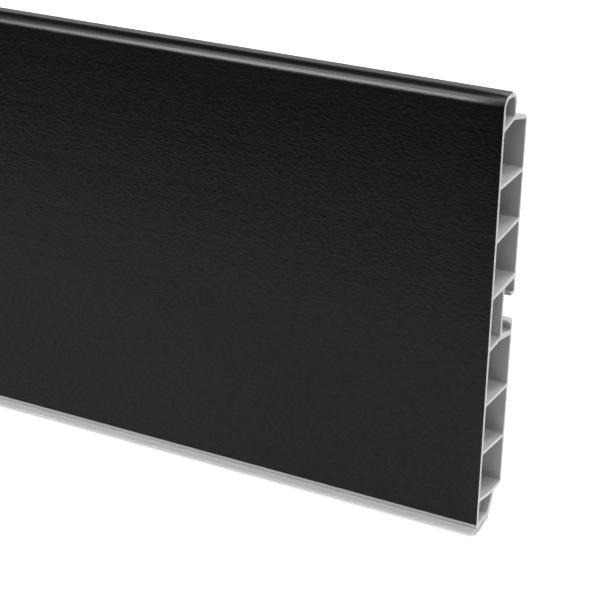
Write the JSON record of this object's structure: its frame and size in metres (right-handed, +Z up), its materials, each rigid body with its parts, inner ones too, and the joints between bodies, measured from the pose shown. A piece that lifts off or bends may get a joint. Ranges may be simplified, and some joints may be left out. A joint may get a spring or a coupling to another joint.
{
  "type": "kitchen plinth strip",
  "caption": "Hollow rigid PVC kickboard strip with black decor film on its front, a soft floor seal along the foot and a clip groove in its back.",
  "frame": {"origin": "middle of the footprint, on the floor", "axes": "+X along the strip, +Y from the film-covered front to the back, +Z up"},
  "size_m": [0.6, 0.0236, 0.15],
  "materials": {
    "rigid_pvc": "light grey rigid PVC, satin from the die along its length, sawn matt at the ends",
    "decor_film": "black satin decor film with a fine pebbled grain",
    "soft_seal": "milky soft PVC, slightly translucent"
  },
  "bodies": {
    "root": {"profile_core": "rigid_pvc", "decor_film": "decor_film", "floor_seal": "soft_seal"}
  },
  "joints": []
}
